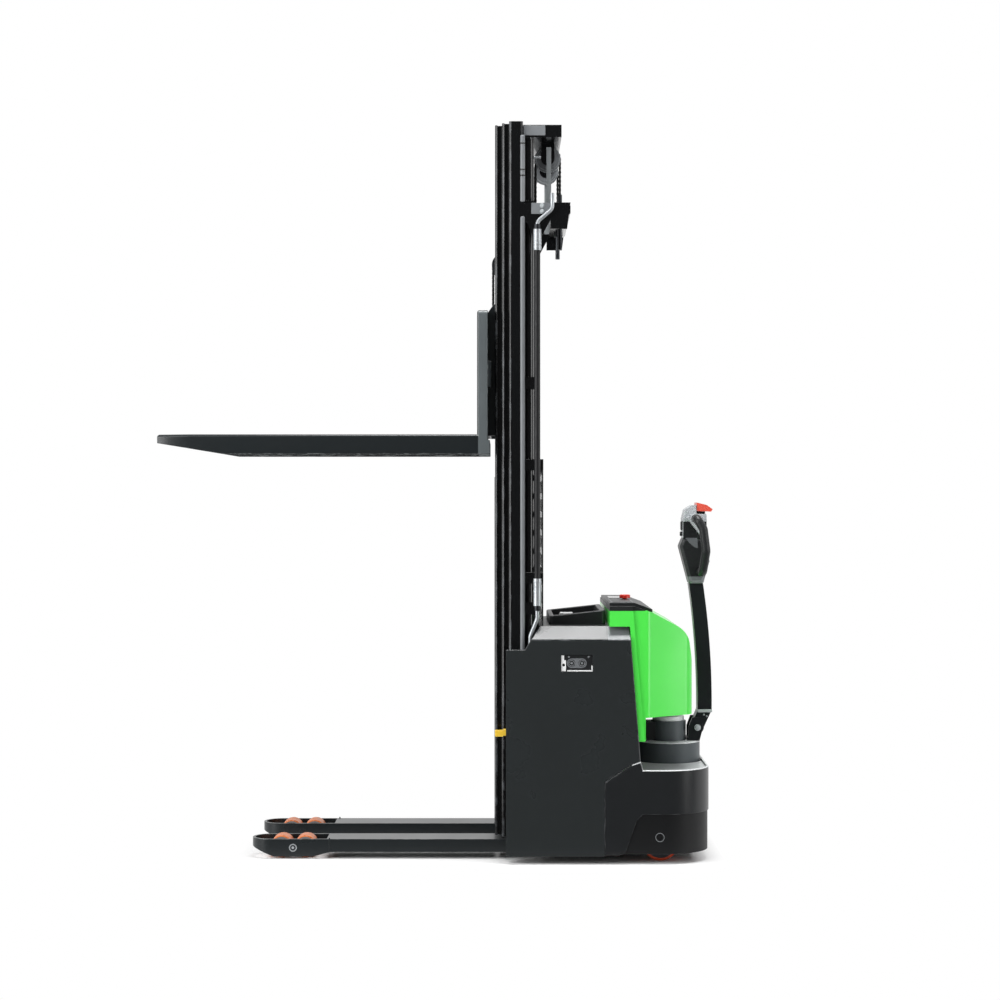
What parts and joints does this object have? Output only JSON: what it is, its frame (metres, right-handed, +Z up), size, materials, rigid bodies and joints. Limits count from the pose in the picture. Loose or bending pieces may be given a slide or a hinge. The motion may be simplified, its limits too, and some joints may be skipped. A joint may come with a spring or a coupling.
{
  "type": "electric pallet stacker",
  "caption": "Walk-behind electric stacker with a telescoping mast, chain-lifted fork carriage, support legs with tandem rollers, steered drive wheel and a tilting tiller.",
  "frame": {"origin": "on the floor, at the middle of the machine's bounding box", "axes": "+X from the fork tips to the tiller, +Y across the machine to the right of a driver who faces the forks, +Z up"},
  "size_m": [2.014, 0.784, 2.628],
  "materials": {
    "fork_paint": "satin",
    "mast_paint": "gloss",
    "panel_cover": "satin",
    "skirt_paint": "satin",
    "hood_shell": "gloss",
    "polyurethane_tread": "satin",
    "plated_steel": "satin",
    "chain_steel": "oiled",
    "rod_chrome": "polished",
    "slide_pad": "matt",
    "drive_casting": "painted",
    "black_plastic": "satin",
    "tiller_paint": "satin",
    "console_silver": "satin",
    "red_plastic": "gloss",
    "hose_rubber": "matt",
    "sensor_yellow": "satin"
  },
  "bodies": {
    "chassis": {"chassis_frame": "skirt_paint", "support_leg_left": "fork_paint", "support_leg_right": "fork_paint", "outer_mast": "mast_paint", "chain_anchor_rods": "plated_steel", "lift_cylinders": "mast_paint", "side_panel_left": "panel_cover", "side_panel_right": "panel_cover", "top_deck": "panel_cover", "storage_tray": "panel_cover", "rear_hood": "hood_shell", "dash_panel": "panel_cover", "charge_socket": "black_plastic", "battery_pack": "black_plastic", "pump_unit": "drive_casting", "motor_controller": "black_plastic", "rear_skirt": "skirt_paint", "lift_hose": "hose_rubber", "hose_fittings": "plated_steel", "rear_guard": "mast_paint", "height_sensor": "sensor_yellow"},
    "rocker_left": {"roller_rocker_left": "plated_steel"},
    "rocker_right": {"roller_rocker_right": "plated_steel"},
    "front_roller_left": {"front_roller_left": "polyurethane_tread"},
    "rear_roller_left": {"rear_roller_left": "polyurethane_tread"},
    "front_roller_right": {"front_roller_right": "polyurethane_tread"},
    "rear_roller_right": {"rear_roller_right": "polyurethane_tread"},
    "middle_stage": {"middle_mast": "mast_paint", "middle_slide_pads": "slide_pad", "lift_rods": "rod_chrome", "lift_chains": "chain_steel"},
    "mast_sheaves": {"chain_sheaves": "plated_steel"},
    "inner_stage": {"inner_mast": "mast_paint", "inner_slide_pads": "slide_pad", "free_lift_cylinder": "mast_paint"},
    "free_lift": {"free_lift_ram": "rod_chrome", "free_lift_chains": "chain_steel"},
    "free_sheaves": {"free_lift_sheaves": "plated_steel"},
    "carriage": {"lift_carriage": "fork_paint", "carriage_slide_pads": "slide_pad", "fork_left": "fork_paint", "fork_right": "fork_paint"},
    "steering": {"gearbox": "drive_casting", "drive_motor": "drive_casting", "steering_collar": "skirt_paint", "tiller_bracket": "skirt_paint"},
    "drive_wheel": {"drive_wheel": "polyurethane_tread"},
    "caster_left": {"caster_fork_left": "plated_steel"},
    "caster_right": {"caster_fork_right": "plated_steel"},
    "caster_wheel_left": {"caster_wheel_left": "polyurethane_tread"},
    "caster_wheel_right": {"caster_wheel_right": "polyurethane_tread"},
    "tiller": {"tiller_arm": "tiller_paint", "tiller_head": "black_plastic", "head_console": "console_silver", "handle_loops": "black_plastic"},
    "throttle": {"throttle": "console_silver"},
    "belly_button": {"belly_button": "red_plastic"},
    "lift_rocker": {"lift_rocker": "black_plastic"},
    "horn_button": {"horn_button": "black_plastic"},
    "emergency_stop": {"emergency_stop": "red_plastic"}
  },
  "joints": [
    {"name": "mast_lift", "type": "slide", "parent": "chassis", "child": "middle_stage", "axis": [0, 0, 1], "range_m": [0, 1.9], "deforming": ["lift_chains"]},
    {"name": "inner_lift", "type": "slide", "parent": "middle_stage", "child": "inner_stage", "axis": [0, 0, 1], "range_m": [0, 1.9]},
    {"name": "free_lift", "type": "slide", "parent": "inner_stage", "child": "free_lift", "axis": [0, 0, 1], "range_m": [-0.714, 0.1], "deforming": ["free_lift_chains"]},
    {"name": "carriage_lift", "type": "slide", "parent": "free_lift", "child": "carriage", "axis": [0, 0, 1], "range_m": [-0.714, 0.1]},
    {"name": "mast_sheave_turn", "type": "hinge", "parent": "middle_stage", "child": "mast_sheaves", "pos_m": [0.398, 0, 2.52], "axis": [0, 1, 0], "range_deg": [-5, 2480]},
    {"name": "free_sheave_turn", "type": "hinge", "parent": "free_lift", "child": "free_sheaves", "pos_m": [0.236, 0, 2.149], "axis": [0, 1, 0], "range_deg": [-1145, 165]},
    {"name": "rocker_tilt_left", "type": "hinge", "parent": "chassis", "child": "rocker_left", "pos_m": [-0.5165, -0.195, 0.04], "axis": [0, 1, 0], "range_deg": [-5, 5]},
    {"name": "front_roller_spin_left", "type": "hinge", "parent": "rocker_left", "child": "front_roller_left", "pos_m": [-0.5595, -0.195, 0.04], "axis": [0, 1, 0], "continuous": true},
    {"name": "rear_roller_spin_left", "type": "hinge", "parent": "rocker_left", "child": "rear_roller_left", "pos_m": [-0.4735, -0.195, 0.04], "axis": [0, 1, 0], "continuous": true},
    {"name": "rocker_tilt_right", "type": "hinge", "parent": "chassis", "child": "rocker_right", "pos_m": [-0.5165, 0.195, 0.04], "axis": [0, 1, 0], "range_deg": [-5, 5]},
    {"name": "front_roller_spin_right", "type": "hinge", "parent": "rocker_right", "child": "front_roller_right", "pos_m": [-0.5595, 0.195, 0.04], "axis": [0, 1, 0], "continuous": true},
    {"name": "rear_roller_spin_right", "type": "hinge", "parent": "rocker_right", "child": "rear_roller_right", "pos_m": [-0.4735, 0.195, 0.04], "axis": [0, 1, 0], "continuous": true},
    {"name": "steer", "type": "hinge", "parent": "chassis", "child": "steering", "pos_m": [0.847, 0, 0.35], "axis": [0, 0, 1], "range_deg": [-50, 50]},
    {"name": "drive_spin", "type": "hinge", "parent": "steering", "child": "drive_wheel", "pos_m": [0.847, 0, 0.115], "axis": [0, 1, 0], "continuous": true},
    {"name": "tiller_tilt", "type": "hinge", "parent": "steering", "child": "tiller", "pos_m": [0.951, 0, 0.449], "axis": [0, 1, 0], "range_deg": [0, 80], "stiffness_Nm_per_rad": 40, "springref_deg": -17.19},
    {"name": "throttle_turn", "type": "hinge", "parent": "tiller", "child": "throttle", "pos_m": [0.94, 0, 1.217], "axis": [0, 1, 0], "range_deg": [-30, 30], "stiffness_Nm_per_rad": 6},
    {"name": "belly_press", "type": "slide", "parent": "tiller", "child": "belly_button", "axis": [0, 0, -1], "range_m": [0, 0.008], "stiffness_N_per_m": 600, "springref_m": -0.008},
    {"name": "lift_rocker_tilt", "type": "hinge", "parent": "tiller", "child": "lift_rocker", "pos_m": [0.906, 0, 1.19], "axis": [0, 1, 0], "range_deg": [-6, 6], "stiffness_Nm_per_rad": 0.6},
    {"name": "horn_press", "type": "slide", "parent": "tiller", "child": "horn_button", "axis": [1, 0, 0], "range_m": [0, 0.003], "stiffness_N_per_m": 300, "springref_m": -0.003},
    {"name": "stop_press", "type": "slide", "parent": "chassis", "child": "emergency_stop", "axis": [0, 0, -1], "range_m": [0, 0.006]},
    {"name": "caster_swivel_left", "type": "hinge", "parent": "chassis", "child": "caster_left", "pos_m": [0.775, -0.285, 0.166], "axis": [0, 0, 1], "continuous": true},
    {"name": "caster_spin_left", "type": "hinge", "parent": "caster_left", "child": "caster_wheel_left", "pos_m": [0.797, -0.285, 0.065], "axis": [0, 1, 0], "continuous": true},
    {"name": "caster_swivel_right", "type": "hinge", "parent": "chassis", "child": "caster_right", "pos_m": [0.775, 0.285, 0.166], "axis": [0, 0, 1], "continuous": true},
    {"name": "caster_spin_right", "type": "hinge", "parent": "caster_right", "child": "caster_wheel_right", "pos_m": [0.797, 0.285, 0.065], "axis": [0, 1, 0], "continuous": true}
  ],
  "couplings": [
    {"joint": "inner_lift", "follows": "mast_lift", "ratio": 1},
    {"joint": "mast_sheave_turn", "follows": "mast_lift", "rad_per_m": 22.727},
    {"joint": "carriage_lift", "follows": "free_lift", "ratio": 1},
    {"joint": "free_sheave_turn", "follows": "free_lift", "rad_per_m": 27.778}
  ]
}
